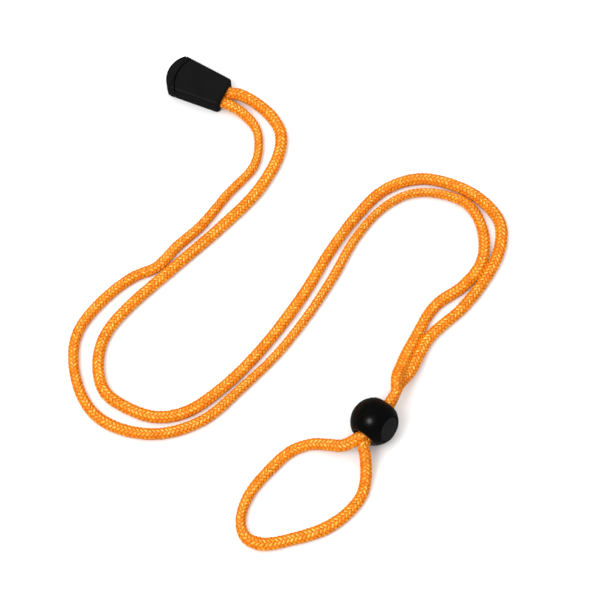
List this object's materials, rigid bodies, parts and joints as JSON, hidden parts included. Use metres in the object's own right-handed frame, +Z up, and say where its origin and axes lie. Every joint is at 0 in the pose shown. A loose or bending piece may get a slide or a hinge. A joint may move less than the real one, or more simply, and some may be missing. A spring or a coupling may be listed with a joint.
{
  "type": "cord lanyard",
  "caption": "Folded round braided cord lanyard with a flat snap-shut cord end on its cut ends and a sliding ball-shaped cord lock that leaves a small closed loop.",
  "frame": {"origin": "on the floor under the middle of the box round the cord end and the cord lock", "axes": "+Y from the cord lock towards the cord end, +X to the side the lock's button faces, +Z up from the surface the lanyard lies on"},
  "size_m": [0.1495, 0.1765, 0.016],
  "materials": {
    "braid": "soft matte braid with a slight yarn sheen",
    "end_plastic": "fine matte moulded texture",
    "ball_plastic": "smooth gloss",
    "button_plastic": "satin",
    "spring_steel": "bright drawn wire"
  },
  "bodies": {
    "cord": {"cord_leg_a": "braid", "cord_leg_b": "braid", "cord_neck_a": "braid", "cord_neck_b": "braid", "cord_clamped_a": "braid", "cord_clamped_b": "braid", "cord_loop": "braid", "cord_tail_a": "braid", "cord_tail_b": "braid", "cord_melted_stop": "braid", "end_body": "end_plastic"},
    "end_cap": {"end_cap": "end_plastic"},
    "lock": {"lock_ball": "ball_plastic", "lock_spring": "spring_steel"},
    "lock_button": {"lock_button": "button_plastic"}
  },
  "joints": [
    {"name": "cap_slide", "type": "slide", "parent": "cord", "child": "end_cap", "axis": [-0.9018, 0.4321, 0], "range_m": [0, 0.009]},
    {"name": "lock_slide", "type": "slide", "parent": "cord", "child": "lock", "axis": [0.5736, 0.8192, 0], "range_m": [0, 0.012], "deforming": ["cord_neck_a", "cord_neck_b", "cord_clamped_a", "cord_clamped_b"]},
    {"name": "button_press", "type": "slide", "parent": "lock", "child": "lock_button", "axis": [-0.7562, 0.5295, -0.3843], "range_m": [0, 0.0025], "stiffness_N_per_m": 800, "deforming": ["lock_spring"]}
  ]
}
